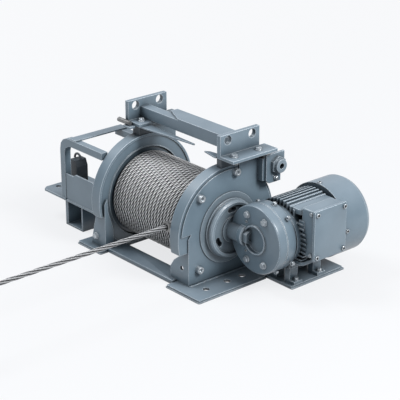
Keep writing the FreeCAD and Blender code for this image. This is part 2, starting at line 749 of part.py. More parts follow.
motor_wall = face + 3
far_wall = far_face - 6
bracket("bracket_motor_side", motor_wall)
bracket("bracket_far_side", far_wall)
node(group("PadsMotor", [crown_pad("CrownMotor", mouth + 12, face - 1),
                         ear_pad("EarPadMotor", face - 6, face + s.sidePlate + 8)]), "bracket_pads_motor")
node(group("PadsFar", [crown_pad("CrownFar", far_face + 1, far_mouth - 2),
                       ear_pad("EarPadFar", far_face - s.sidePlate - 8, far_face + 6)]), "bracket_pads_far")

# Cross beam: rectangular tube between the upright webs
beam_low_x = far_wall
beam_high_x = motor_wall - s.bracketThick
beam_y = bracket_y + 33
beam_z = bracket_z + 7
beam_top = beam_z + s.beamTall
beam_back = beam_y + s.beamWide
outer_beam = block("BeamOuter", (beam_low_x, beam_y, beam_z), (beam_high_x, beam_back, beam_top))
inner_beam = block("BeamInner", (beam_low_x - 1, beam_y + s.beamWall, beam_z + s.beamWall),
                   (beam_high_x + 1, beam_back - s.beamWall, beam_top - s.beamWall))
beam_tube = cut("BeamCut", outer_beam, [inner_beam])
cap_low = beam_low_x + 72
cap_deep = s.capPlateWide
cap_plate = padded("BeamCap", "XY_Plane", [
    (50, 0), (beam_high_x - cap_low, 0), (beam_high_x - cap_low, cap_deep), (0, cap_deep), (0, cap_deep - 18)], s.beamWall)
place(cap_plate, cap_low, beam_y, beam_top)
node(fuse("BeamWhole", [beam_tube, cap_plate]), "cross_beam")

# Rope keeper rod in front of the brackets, its clamp, and the tapered keeper plate
rod_y = bracket_y - s.rodRadius - 2
rod_z = bracket_z + s.rodRadius
rod_low = far_wall - 24
rod_high = far_wall + 14
keeper = round_bar("KeeperRod", "x", (rod_low, rod_y, rod_z), rod_high - rod_low, s.rodRadius)
node(keeper, "keeper_rod")
clamp = block("ClampBlock", (far_wall, rod_y - s.rodRadius - 3, bracket_z - 4),
              (far_wall + 24, bracket_y + 2, bracket_z))
node(clamp, "keeper_clamp")
tab = padded("KeeperTab", "XY_Plane", [(-22, 2), (14, -5), (20, -5), (20, 14), (-12, 9)], 3)
node(place(tab, motor_wall - s.bracketThick - 27, bracket_y + 8, bracket_z - 3), "keeper_tab")
taper_low = far_wall + s.bracketOut
keeper_long = beam_high_x - taper_low - 93
taper = padded("KeeperPlate", "XY_Plane", [
    (-7, 4), (keeper_long, 20), (keeper_long, 23), (keeper_long * 0.4, 27), (-7, 30)], 3)
node(place(taper, taper_low, bracket_y, bracket_z - 3), "keeper_plate")

# Cable gland plate on a spacer behind the motor-side casing
ear_back = s.drumY + 30 + s.earWidth
spacer = block("GlandSpacer", (face + s.sidePlate, ear_back - 24, ear_top - 53), (face + 18, ear_back, ear_top - 5))
node(spacer, "gland_spacer")
gland_plate = padded("GlandPlate", "YZ_Plane", [
    (0, 8), (8, 0), (40, 0), (40, 14), (50, 20), (50, 62), (0, 62)], 5)
node(place(gland_plate, face + 18, ear_back - 18, ear_top - 60), "gland_plate")
gland_y = ear_back + 12
gland_z = ear_top - 24
nut = hex_bar("GlandHex", "x", (face + 23, gland_y, gland_z), 7, 34)
collar = round_bar("GlandCollar", "x", (face + 30, gland_y, gland_z), 7, 14)
gland_bore = round_bar("GlandBore", "x", (face + 25, gland_y, gland_z), 20, 6)
node(cut("GlandCut", fuse("GlandWhole", [nut, collar]), [gland_bore]), "cable_gland")

# End frame beyond the far casing: bent bars, a strap across, and the ends on the shelf
shelf_z = foot_top + s.shelfRise
shelf_low = far_face - s.shelfLong
shelf_end = s.shelfLong - s.sidePlate
shelf_y = s.drumY - 97
frame_low = far_face - s.frameLong
frame_top = foot_top + s.frameTop
shelf = padded("Shelf", "XY_Plane", [
    (0, 10), (8, 0), (shelf_end, 0), (shelf_end, 34), (shelf_end - 30, 44), (shelf_end - 30, s.shelfWide),
    (8, s.shelfWide), (0, s.shelfWide - 10)],
    5, [(17, 32, 7), (17, s.shelfWide - 32, 7)])
node(place(shelf, shelf_low, shelf_y, shelf_z), "end_shelf")


def end_bar(label, y):
    bar = s.barSize
    top = frame_top - shelf_z - s.shelfThick
    reach = s.frameLong - s.sidePlate
    outline = [(0, 0), (bar, 0), (bar, top - 34), (bar + 3, top - 24), (bar + 12, top - bar - 3),
               (bar + 20, top - bar), (reach, top - bar), (reach, top), (24, top), (12, top - 5),
               (3, top - 15), (0, top - 30)]
    body = padded(label, "XZ_Plane", outline, bar)
    return node(place(body, frame_low, y, shelf_z + 5), label)


end_bar("end_bar_front", shelf_y)
strap_low = frame_low + 34
strap_high = strap_low + s.strapWide
rear_y = s.drumY + 28
node(block("EndBarRear", (strap_low, rear_y, frame_top - s.barSize),
           (far_face - s.sidePlate, rear_y + s.barSize, frame_top)), "end_bar_rear")
node(block("EndStrap", (strap_low, shelf_y, frame_top), (strap_high, rear_y + s.barSize, frame_top + 3)), "end_strap")
panel_long = s.frameLong - s.barSize - 32
panel = padded("EndPanel", "XZ_Plane", [
    (0, 0), (panel_long, 0), (panel_long, s.panelTall - 3), (panel_long - 8, s.panelTall), (36, s.panelTall),
    (28, s.panelTall - 6), (0, s.panelTall - 6)], 3)
place(panel, frame_low + s.barSize, shelf_y + 1, shelf_z + 5)
panel_high = frame_low + s.barSize + panel_long
panel_side = block("EndPanelSide", (panel_high - 3, shelf_y + 2, shelf_z + 5),
                   (panel_high, shelf_y + 62, shelf_z + 2 + s.panelTall))
node(fuse("EndPanelWhole", [panel, panel_side]), "end_panel")

# Channel leg below the shelf
leg_low_x = frame_low + 4
leg_y = shelf_y + 6
leg_outer = block("ChannelOuter", (leg_low_x, leg_y, 0), (leg_low_x + 62, leg_y + 60, shelf_z))
leg_inner = block("ChannelInner", (leg_low_x + 9, leg_y - 1, 4), (leg_low_x + 58, leg_y + 56, shelf_z - 4))
node(cut("ChannelCut", leg_outer, [leg_inner]), "channel_leg")

# Limit switch on the shelf, with its cable bow
switch_x = frame_low - 13
switch_y = shelf_y + 30
switch = padded("SwitchBody", "XZ_Plane", [
    (0, 0), (s.switchWide, 0), (s.switchWide, s.switchTall - 14), (s.switchWide - 6, s.switchTall),
    (6, s.switchTall), (0, s.switchTall - 14)], s.switchWide)
node(place(switch, switch_x, switch_y, shelf_z + s.shelfThick), "limit_switch")
bow_reach = 11
bow = turned("SwitchBow", "y", [
    (-2.4, bow_reach - 1), (-1, bow_reach - 2.4), (1, bow_reach - 2.4), (2.4, bow_reach - 1),
    (2.4, bow_reach + 1), (1, bow_reach + 2.4), (-1, bow_reach + 2.4), (-2.4, bow_reach + 1)], 180)
place(bow, switch_x + s.switchWide / 2, switch_y + s.switchWide / 2, shelf_z + s.shelfThick + s.switchTall,
      Rotation(Vector(0, 1, 0), 180))
node(bow, "switch_cable_bow")

# Rope guide eye on an arm from the motor-side rim
eye_x = mouth - 16
eye_y = s.drumY - casing_radius + s.eyeInset
eye_z = drum_z + 19.5
eye_ring = turned("EyeRing", "y", [
    (-4, s.eyeRadius - 1.5), (-2, s.eyeRadius + 2), (2, s.eyeRadius + 2), (4, s.eyeRadius - 1.5),
    (2, s.ropeRadius + s.eyeClear), (-2, s.ropeRadius + s.eyeClear)])
place(eye_ring, eye_x, eye_y, eye_z)
arm = block("EyeArm", (eye_x + s.eyeRadius, eye_y - 3, eye_z - 8), (mouth, eye_y + 3, eye_z + 8))
pad_arm = block("EyePad", (mouth - 3, s.drumY - casing_radius + 2, eye_z - 10), (mouth, eye_y + 3, eye_z + 10))
node(fuse("EyeWhole", [eye_ring, arm, pad_arm]), "rope_guide_eye")


# Free rope: from the last bare groove round the drum front, through the eye and straight out
rope_route = [
    (128.6, -4.8, 28), (128.6, -51, 15.6), (128.6, -97.2, 28), (128.6, -127, 56.7),
    (125.5, -147.5, 84), (117, -157.5, 104), (113, -158, 128), (113, -610, 127),
]
rope_end = rope_route[-1]


# Straight runs joined by tangent arcs, each as large as its two runs allow
def tube_path(route):
    corners = [Vector(*spot) for spot in route]
    edges = []
    start = corners[0]
    for before, corner, after in zip(corners, corners[1:], corners[2:]):
        back = before - corner
        ahead = after - corner
        cut_back = 0.45 * min(back.Length, ahead.Length)
        half_turn = (math.pi - back.getAngle(ahead)) / 2
        radius = cut_back / math.tan(half_turn)
        back.normalize()
        ahead.normalize()
        first = corner + back * cut_back
        last = corner + ahead * cut_back
        middle_way = back + ahead
        middle_way.normalize()
        middle = corner + middle_way * (radius / math.cos(half_turn) - radius)
        edges.append(Part.LineSegment(start, first).toShape())
        edges.append(Part.Arc(first, middle, last).toShape())
        print("cord radius rope_free", round(radius, 1))
        start = last
    edges.append(Part.LineSegment(start, corners[-1]).toShape())
    return Part.Wire(edges)


path = tube_path(rope_route)
mouth_circle = Part.makeCircle(driving["ropeRadius"], Vector(*rope_route[0]),
                               Vector(*rope_route[1]) - Vector(*rope_route[0]))
tube = path.makePipe(Part.Face(Part.Wire([mouth_circle])))
tube_ratio = tube.Volume / (math.pi * driving["ropeRadius"] ** 2 * path.Length)
print("cord length", round(path.Length, 1), "volume ratio", round(tube_ratio, 4))
rope = doc.addObject("Part::Feature", "RopeTube")
rope.Shape = tube
node(rope, "rope_free")

# Ferrule, eye and hook at the far end of the rope
ferrule = round_bar("Ferrule", "y", (rope_end[0], rope_end[1] - 34, rope_end[2]), 34, 8.5)
node(ferrule, "rope_ferrule")
ring_y = rope_end[1] - 34 - 20
loop = turned("LoopRing", "y", [(-4.6, 13.1), (-1.9, 10.4), (1.9, 10.4), (4.6, 13.1),
                            (4.6, 16.9), (1.9, 19.6), (-1.9, 19.6), (-4.6, 16.9)])
place(loop, rope_end[0], ring_y, rope_end[2], Rotation(Vector(1, 0, 0), 90))
node(loop, "rope_loop")
hook_outline = [(-22, -7), (-10, -8), (0, -12), (9, -9), (13, 0), (9, 9), (0, 12), (-10, 8), (-22, 7)]
for angle in range(50, 291, 24):
    turn = math.radians(angle)
    hook_outline.append((26 * math.cos(turn) - 46, 26 * math.sin(turn)))
for angle in range(290, 9, -28):
    turn = math.radians(angle)
    hook_outline.append((14 * math.cos(turn) - 46, 14 * math.sin(turn)))
hook = padded("Hook", "YZ_Plane", hook_outline, 9, [(0, 0, 5.6)])
node(place(hook, rope_end[0] - 4.5, ring_y - 15, rope_end[2]), "rope_hook")


# Bolt sets: one node for each kind and place
def hex_heads(label, axis, spots, across, thick):
    heads = []
    for index, spot in enumerate(spots):
        heads.append(hex_bar(label + "n" + str(index), axis, spot, thick, across))
    return node(group(label + "Set", heads), label)


def socket_heads(label, axis, spots, across, thick):
    heads = []
    for index, spot in enumerate(spots):
        name = label + "n" + str(index)
        outer = round_bar(name + "Head", axis, spot, thick, as_size(across) / 2)
        deeper = [as_size(value) for value in spot]
        deeper["xyz".index(axis)] = deeper["xyz".index(axis)] + thick / 2
        socket = hex_bar(name + "Socket", axis, deeper, thick, as_size(across) * 0.5)
        heads.append(cut(name, outer, [socket]))
    return node(group(label + "Set", heads), label)


plate_face = face + s.sidePlate
socket_heads("casing_cap_screws", "x", [
    (plate_face, s.drumY + 20, drum_z + casing_radius - 14), (plate_face, s.drumY - 74, drum_z + casing_radius - 47),
    (plate_face, s.drumY - 78, drum_z - 72), (plate_face, s.drumY + 78, drum_z - 72)], s.capAcross, s.capHead)
ledge_top = bracket_z + s.bracketLeg
bracket_bolts = []
for wall in (motor_wall, far_wall):
    for along in (20, s.bracketLong - 20):
        bracket_bolts.append((wall + s.bracketOut / 2, bracket_y + along, ledge_top))
hex_heads("bracket_bolts", "z", bracket_bolts, s.boltAcross, s.boltHead)
cover_bolts = []
for angle in (60, 115, 245, 300):
    turn = math.radians(angle)
    cover_bolts.append((motor_x + 53 * math.cos(turn), gear_face - s.boltHead, drum_z + 53 * math.sin(turn)))
hex_heads("gear_cover_bolts", "y", cover_bolts, s.boltAcross, s.boltHead)
lid_bolts = []
for along in (7, s.boxWidth - 7):
    for rise in (7, s.boxHigh - 7):
        lid_bolts.append((lid_x + 6, box_y + along, box_z + rise))
socket_heads("lid_screws", "x", lid_bolts, 8, 3)
foot_bolts = []
for row_y in foot_rows:
    for sign in (1, -1):
        foot_bolts.append((motor_x + sign * 34, row_y + foot_long / 2, foot_top + 7))
hex_heads("motor_foot_bolts", "z", foot_bolts, 9, 6)
hex_heads("leg_bolts", "y", [
    (far_leg_low + 18, far_leg_front - s.boltHead, foot_top + s.legHeight * 0.3)], s.boltAcross, s.boltHead)
hex_heads("channel_leg_bolt", "x", [
    (leg_low_x - 5, leg_y + 12, 14)], 10, 5)
hex_heads("gland_plate_bolt", "x", [(face + 23, ear_back + 8, ear_top - 52)], 10, 6)

doc.recompute()
os.makedirs("parts", exist_ok=True)
bad = []
for item in doc.Objects:
    if "Invalid" in item.State or "Error" in item.State:
        bad.append(item.Name + " " + str(item.State))
names = set()
for item in nodes:
    shape = item.Shape
    if shape.isNull() or not shape.isValid():
        bad.append(item.Label + " has no valid shape")
    if item.Label in names:
        bad.append(item.Label + " is used twice")
    names.add(item.Label)
if bad:
    raise RuntimeError("; ".join(bad))
for item in nodes:
    item.Shape.exportStep("parts/" + item.Label + ".step")
print("nodes", len(nodes))
box = None
for item in nodes:
    if item.Label.startswith("rope_") and item.Label not in ("rope_wraps", "rope_guide_eye"):
        continue
    if box is None:
        box = FreeCAD.BoundBox(item.Shape.BoundBox)
    else:
        box.add(item.Shape.BoundBox)
print("box", box.XMin, box.XMax, box.YMin, box.YMax, box.ZMin, box.ZMax)
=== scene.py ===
import json
import math
import bpy
import bmesh
from mathutils import Matrix, Vector


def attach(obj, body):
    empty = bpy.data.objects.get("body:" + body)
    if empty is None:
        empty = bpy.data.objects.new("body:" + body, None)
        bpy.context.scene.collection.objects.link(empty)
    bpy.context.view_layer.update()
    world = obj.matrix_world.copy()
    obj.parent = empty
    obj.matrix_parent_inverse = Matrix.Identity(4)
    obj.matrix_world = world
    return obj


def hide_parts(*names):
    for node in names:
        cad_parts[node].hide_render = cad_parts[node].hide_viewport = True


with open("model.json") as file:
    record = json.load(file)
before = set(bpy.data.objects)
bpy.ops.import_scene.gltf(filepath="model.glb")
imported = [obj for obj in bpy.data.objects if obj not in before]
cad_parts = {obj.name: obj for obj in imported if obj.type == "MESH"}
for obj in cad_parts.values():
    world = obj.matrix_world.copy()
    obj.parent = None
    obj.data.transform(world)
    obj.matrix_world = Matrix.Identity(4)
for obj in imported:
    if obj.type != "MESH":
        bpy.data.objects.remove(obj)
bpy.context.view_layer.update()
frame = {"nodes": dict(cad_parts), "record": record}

nodes = frame["nodes"]
print("winch: frame loaded,", len(nodes), "nodes")

for left in ("Cube", "Light", "Camera"):
    if left in bpy.data.objects:
        bpy.data.objects.remove(bpy.data.objects[left])


# ---- camera, floor and light
stageSet = {
    "target": (-0.22216, 0.20552, -0.01992),
    "back": (0.698764, -0.607426, 0.377841),
    "distance": 3.29388,
    "lens": 126.0,
    "sensor": 36,
    "clipEnd": 60,
    "floorSize": 14.0,
    "floorZ": -0.0003,
    "floorColour": (0.36, 0.365, 0.375, 1),
    "floorGlow": 0.72,
    "nearGlow": (1.06, 1.07, 1.09, 1),
    "farGlow": (1.20, 1.205, 1.22, 1),
    "glowFall": 0.3,        # share of the far glow gained per metre
    "worldColour": (0.93, 0.96, 1.0, 1),
    "worldLight": 0.56,
    "lamps": [  # place, aim, size, watts, colour
        ((2.5, 0.5, 2.3), (0.1, 0, 0.1), 1.2, 120, (1, 0.99, 0.98)),
        ((-1.5, -1.0, 3.1), (0, 0, 0.1), 1.4, 78, (0.97, 0.985, 1)),
        ((0.6, -2.9, 0.9), (0.1, 0, 0.1), 1.4, 5, (1, 1, 1)),
    ],
}


def makeCamera():
    target, back = Vector(stageSet["target"]), Vector(stageSet["back"])
    data = bpy.data.cameras.new("view")
    data.lens = stageSet["lens"]
    data.sensor_width = stageSet["sensor"]
    data.clip_end = stageSet["clipEnd"]
    cam = bpy.data.objects.new("view", data)
    cam.location = target + back * stageSet["distance"]
    cam.rotation_euler = back.to_track_quat("Z", "Y").to_euler()
    bpy.context.scene.collection.objects.link(cam)
    bpy.context.scene.camera = cam


def makeLamps():
    for index, (place, aim, size, watts, colour) in enumerate(stageSet["lamps"]):
        data = bpy.data.lights.new("lamp" + str(index), "AREA")
        data.shape = "DISK"
        data.size = size
        data.energy = watts
        data.color = colour
        lamp = bpy.data.objects.new("lamp" + str(index), data)
        lamp.location = place
        lamp.rotation_euler = (Vector(place) - Vector(aim)).to_track_quat("Z", "Y").to_euler()
        bpy.context.scene.collection.objects.link(lamp)


# ---- shader helpers
class Flow:
    # wraps one output socket, so that values can be added, scaled and compared in plain expressions
    def __init__(self, tree, socket):
        self.tree = tree
        self.socket = socket

    def math(self, operation, first, second=None):
        step = self.tree.nodes.new("ShaderNodeMath")
        step.operation = operation
        for slot, value in zip(step.inputs, (first, second)):
            if isinstance(value, Flow):
                self.tree.links.new(value.socket, slot)
            elif value is not None:
                slot.default_value = value
        return Flow(self.tree, step.outputs[0])

    def __add__(self, other):
        return self.math("ADD", self, other)

    def __radd__(self, other):
        return self.math("ADD", other, self)

    def __sub__(self, other):
        return self.math("SUBTRACT", self, other)

    def __rsub__(self, other):
        return self.math("SUBTRACT", other, self)

    def __mul__(self, other):
        return self.math("MULTIPLY", self, other)

    def above(self, edge):
        return self.math("GREATER_THAN", self, edge)

    def clip(self):
        step = self.math("ADD", self, 0.0)
        step.socket.node.use_clamp = True
        return step


class Finish:
    def __init__(self, name):
        self.material = bpy.data.materials.new(name)
        self.material.use_nodes = True
        self.tree = self.material.node_tree
        self.tree.nodes.clear()
        self.out = self.tree.nodes.new("ShaderNodeOutputMaterial")

    def node(self, kind, settings=None, sockets=None, out=0):
        step = self.tree.nodes.new(kind)
        for key, value in (settings or {}).items():
            setattr(step, key, value)
        for key, value in (sockets or {}).items():
            if isinstance(value, Flow):
                self.tree.links.new(value.socket, step.inputs[key])
            else:
                step.inputs[key].default_value = value
        return Flow(self.tree, step.outputs[out])

    def mix(self, amount, first, second):
        # colour mix: socket 0 is the factor, 6 and 7 are the two colours, output 2 the result
        return self.node("ShaderNodeMix", {"data_type": "RGBA", "blend_type": "MIX"},
                         {0: amount, 6: first, 7: second}, 2)

    def openness(self, reach):
        # 1 in the open, lower where other surfaces lie within reach
        return self.node("ShaderNodeAmbientOcclusion", {"samples": 8}, {"Distance": reach}, "AO")

    def rounded(self, radius, samples=6):
        return self.node("ShaderNodeBevel", {"samples": samples}, {"Radius": radius})

    def noise(self, where, scale, detail=3.0, rough=0.5):
        return self.node("ShaderNodeTexNoise", None,
                         {"Vector": where, "Scale": scale, "Detail": detail, "Roughness": rough})

    def finish(self, shader):
        self.tree.links.new(shader.socket, self.out.inputs["Surface"])
        return self.material


def rgb(red, green, blue):
    # 8-bit screen colour to linear
    return tuple(((v / 255) / 12.92 if v <= 10 else ((v / 255 + 0.055) / 1.055) ** 2.4)
                 for v in (red, green, blue)) + (1,)


# ---- finishes
def paintFinish(name, look):
    # satin enamel: slow colour drift, dust on top faces, worn edges lightened further as a painted highlight,
    # painted shade in corners, orange peel
    f = Finish(name)
    where = f.node("ShaderNodeTexCoord", out="Object")
    rounded = f.rounded(look["edge"])
    flat = f.node("ShaderNodeNewGeometry", out="Normal")
    closeness = f.node("ShaderNodeVectorMath", {"operation": "DOT_PRODUCT"}, {0: rounded, 1: flat}, "Value")
    drift = f.noise(where, look["driftScale"], 4.0)
    grain = f.noise(where, look["grainScale"], 3.0)
    edge = ((1 - closeness) * look["edgeGain"]).clip()
    # edge mask: real wear on the edges, brightened further as a painted highlight
    wearAndHighlight = (edge * (0.55 + grain * 0.9)).clip()
    upward = f.node("ShaderNodeSeparateXYZ", None, {0: flat}, 2)
    dust = (upward - look["dustSlope"]).clip() * (0.4 + drift * 1.2)
    body = f.mix(((drift - 0.35) * 1.6).clip(), look["dark"], look["light"])
    dusty = f.mix((dust * look["dust"]).clip(), body, look["dustColour"])
    wornAndHighlit = f.mix(wearAndHighlight * look["wearAndHighlight"], dusty, look["edgeWearHighlightColour"])
    speck = f.noise(where, look["speckScale"], 2.0).above(look["speckFrom"])
    flecked = f.mix(speck * look["speck"], wornAndHighlit, look["light"])
    # painted shade: darker in corners and recesses where other surfaces lie close
    cornerShaded = f.mix(((1 - f.openness(look["reach"])) * look["cornerShadeGain"]).clip(), flecked, look["cornerShadeColour"])
    peel = f.noise(where, look["peelScale"], 2.0)
    slow = f.noise(where, 60.0, 2.0)
    bump = f.node("ShaderNodeBump", None, {"Strength": look["peel"], "Distance": look["peelTall"],
                                           "Height": peel + slow * 1.5, "Normal": rounded})
    rough = look["rough"] + (drift - 0.5) * 0.16 + (grain - 0.5) * 0.1 - wearAndHighlight * 0.06 + dust * 0.12
    return f.finish(f.node("ShaderNodeBsdfPrincipled", None, {
        "Base Color": cornerShaded, "Roughness": rough.clip(), "Metallic": 0.0, "Coat Weight": look["coat"],
        "Coat Roughness": look["coatRough"], "IOR": look["ior"], "Normal": bump}))


def steelFinish(name, look):
    # machined or plated metal: blotches, dark specks and a fine grain
    f = Finish(name)
    where = f.node("ShaderNodeTexCoord", out="Object")
    rounded = f.rounded(look["edge"])
    blotch = f.noise(where, look["blotch"], 4.0, 0.6)
    fine = f.noise(where, 700.0, 2.0)
    body = f.mix(((blotch - 0.32) * 2.2).clip(), look["dark"], look["light"])
    spotted = f.mix((f.noise(where, 260.0, 2.0).above(0.68)) * 0.3, body, look["spot"])
    bump = f.node("ShaderNodeBump", None,
                  {"Strength": look["bump"], "Distance": 0.0004, "Height": fine + blotch, "Normal": rounded})
    rough = look["rough"] + (blotch - 0.5) * 0.3 + (fine - 0.5) * 0.12
    return f.finish(f.node("ShaderNodeBsdfPrincipled", None, {
        "Base Color": spotted, "Roughness": rough.clip(), "Metallic": look["metal"], "IOR": 1.5,
        "Normal": bump}))


def ropeFinish(name, look):
    # stranded wire: bright crests, painted shade in the valleys, in the crevices and towards the floor,
    # grease blotches, single wires across each strand
    f = Finish(name)
    spot = f.node("ShaderNodeUVMap", {"uv_map": "ropeMap"})
    crest = f.node("ShaderNodeAttribute", {"attribute_name": "crest"}, out="Fac")
    where = f.node("ShaderNodeTexCoord", out="Object")
    turned = f.node("ShaderNodeMapping", None, {"Vector": spot, "Rotation": (0, 0, look["wireAngle"]),
                                                "Scale": look["wireScale"]})
    wires = f.node("ShaderNodeTexWave", {"wave_type": "BANDS", "bands_direction": "Y"},
                   {"Vector": turned, "Scale": 1.0, "Distortion": 0.4, "Detail": 1.0})
    blotch = f.noise(where, 90.0, 4.0, 0.6)
    height = (crest * look["crestGain"] - look["crestFrom"]).clip()
    wire = f.mix(((wires - 0.3) * 1.3).clip(), look["wireDark"], look["wireLight"])
    # painted shade: the valley colour between the strand crests
    body = f.mix(height, look["valleyShade"], wire)
    greased = f.mix(((blotch - 0.5) * 1.4).clip() * look["greaseShare"], body, look["grease"])
    # painted shade: darker in the crevices between turns, then darker towards the floor and the frame
    creviceShaded = f.mix((1 - f.openness(look["nearReach"])).clip(), greased, look["valleyShade"])
    shaded = f.mix(((1 - f.openness(look["lowReach"])) * look["lowShare"] - look["lowFrom"]).clip(),
                   creviceShaded, look["valleyShade"])
    bump = f.node("ShaderNodeBump", None,
                  {"Strength": 0.5, "Distance": 0.0004, "Height": wires + blotch * 0.4})
    rough = look["rough"] + (blotch - 0.5) * 0.3 + (1 - height) * 0.3
    return f.finish(f.node("ShaderNodeBsdfPrincipled", None, {
        "Base Color": shaded, "Roughness": rough.clip(), "Metallic": (height * look["metal"]).clip(),
        "Normal": bump}))


def plasticFinish(name, look):
    # moulded plastic: cloudy colour and a fine grain
    f = Finish(name)
    where = f.node("ShaderNodeTexCoord", out="Object")
    rounded = f.rounded(look["edge"], 4)
    grain = f.noise(where, 800.0, 2.0)
    cloud = f.noise(where, 30.0, 3.0)
    body = f.mix(((cloud - 0.3) * 1.6).clip(), look["dark"], look["light"])
    bump = f.node("ShaderNodeBump", None,
                  {"Strength": 0.25, "Distance": 0.0003, "Height": grain, "Normal": rounded})
    rough = look["rough"] + (cloud - 0.5) * 0.2 + (grain - 0.5) * 0.15
    return f.finish(f.node("ShaderNodeBsdfPrincipled", None, {
        "Base Color": body, "Roughness": rough.clip(), "Metallic": 0.0, "Normal": bump}))


def floorFinish():
    # a lit floor that the camera and mirror rays see partly as a plain bright backdrop
    f = Finish("floorFinish")
    path = f.node("ShaderNodeLightPath", out="Is Camera Ray")
    gloss = f.node("ShaderNodeLightPath", out="Is Glossy Ray")
    seen = (path + gloss).clip()
    lit = f.node("ShaderNodeBsdfDiffuse", None, {"Color": stageSet["floorColour"]})
    where = f.node("ShaderNodeTexCoord", out="Object")
    reach = f.node("ShaderNodeVectorMath", {"operation": "LENGTH"}, {0: where}, "Value")
    backdrop = f.mix((reach * stageSet["glowFall"]).clip(), stageSet["nearGlow"], stageSet["farGlow"])
    glow = f.node("ShaderNodeEmission", None, {"Color": backdrop, "Strength": 1.0})
    return f.finish(f.node("ShaderNodeMixShader", None,
                           {0: seen * stageSet["floorGlow"], 1: lit, 2: glow}))


paintLook = {
    "dark": rgb(94, 111, 123), "light": rgb(113, 130, 142), "driftScale": 14.0, "grainScale": 160.0,
    "dustColour": rgb(140, 146, 154), "dust": 0.5, "dustSlope": 0.55,
    # edges: worn paint, lightened further as a painted highlight
    "edgeWearHighlightColour": rgb(206, 217, 226), "edge": 0.0017, "edgeGain": 14.0, "wearAndHighlight": 0.85,
    "speck": 0.14, "speckScale": 420.0, "speckFrom": 0.71,
    # painted shade in corners and recesses: its colour, reach and strength
    "cornerShadeColour": rgb(16, 24, 31), "reach": 0.03, "cornerShadeGain": 1.15,
    "peel": 0.12, "peelScale": 900.0, "peelTall": 0.0006,
    "rough": 0.36, "coat": 0.3, "coatRough": 0.22, "ior": 1.5,
}
hubLook = dict(paintLook, dark=rgb(108, 122, 132), light=rgb(128, 142, 152), rough=0.38, edge=0.0014,
               wearAndHighlight=0.8)
darkLook = dict(paintLook, dark=rgb(48, 58, 66), light=rgb(66, 77, 86), edgeWearHighlightColour=rgb(100, 110, 118),
                dust=0.4)
zincLook = {
    "dark": rgb(150, 158, 164), "light": rgb(205, 210, 214), "spot": rgb(120, 124, 126),
    "edge": 0.0006, "blotch": 120.0, "bump": 0.2, "rough": 0.34, "metal": 0.75,
}
steelLook = {
    "dark": rgb(104, 104, 104), "light": rgb(160, 160, 160), "spot": rgb(84, 80, 76),
    "edge": 0.0008, "blotch": 60.0, "bump": 0.3, "rough": 0.38, "metal": 0.8,
}
ropeLook = {
    # the winding's wires are painted near white, a painted highlight: the same rope hanging free (freeLook)
    # is drawn grey with less painted shade
    "wireDark": rgb(248, 249, 251), "wireLight": rgb(255, 255, 255), "wireAngle": 0.5,
    "wireScale": (160.0, 26.0, 1.0), "valleyShade": rgb(12, 13, 15), "crestGain": 3.0, "crestFrom": 1.15,
    # painted shade: nearReach and the low keys below lay the valley colour in the crevices between turns and
    # towards the floor and the frame
    "grease": rgb(150, 148, 146), "greaseShare": 0.25, "nearReach": 0.012,
    "lowReach": 0.12, "lowShare": 0.95, "lowFrom": 0.12,    # darker towards the floor and the frame
    "rough": 0.34, "metal": 0.05,
}
freeLook = dict(ropeLook, wireDark=rgb(120, 122, 125), wireLight=rgb(214, 216, 219), lowShare=0.4)
plasticLook = {"dark": rgb(40, 46, 52), "light": rgb(60, 68, 76), "edge": 0.0008, "rough": 0.5}

finishes = {
    "slate_paint": paintFinish("slateEnamel", paintLook),
    "hub_paint": paintFinish("hubEnamel", hubLook),
    "zinc_steel": steelFinish("zincPlate", zincLook),
    "wire_rope": ropeFinish("strandedWire", ropeLook),
    "bare_steel": steelFinish("plainSteel", steelLook),
    "dark_pad": paintFinish("darkEnamel", darkLook),
    "black_plastic": plasticFinish("mouldedBlack", plasticLook),
}
slotOf = {row["node"]: row["material_slot"] for row in frame["record"]["subparts"]}
for label, item in nodes.items():
    item.data.materials.clear()
    item.data.materials.append(finishes[slotOf[label]])
print("winch: finishes ready")


# ---- mesh helpers
def facing(place, point):
    # a matrix that sets a shape drawn along Z at the place, pointing the given way
    return Matrix.Translation(place) @ Vector(point).to_track_quat("Z", "Y").to_matrix().to_4x4()


def pourInto(whole, bm):
    # adds one bmesh to another and frees it
    part = bpy.data.meshes.new("part")
    bm.to_mesh(part)
    bm.free()
    whole.from_mesh(part)
    bpy.data.meshes.remove(part)


def pathLength(points):
    return sum((b - a).length for a, b in zip(points, points[1:]))


def meshPiece(name, bm, slot, body, standsFor=(), smooth=True):
    data = bpy.data.meshes.new(name)
    bm.to_mesh(data)
    bm.free()
    data.materials.append(finishes[slot])
    data.shade_smooth() if smooth else data.shade_flat()
    piece = bpy.data.objects.new(name, data)
    bpy.context.scene.collection.objects.link(piece)
    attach(piece, body)
    if standsFor:
        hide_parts(*standsFor)
    return piece


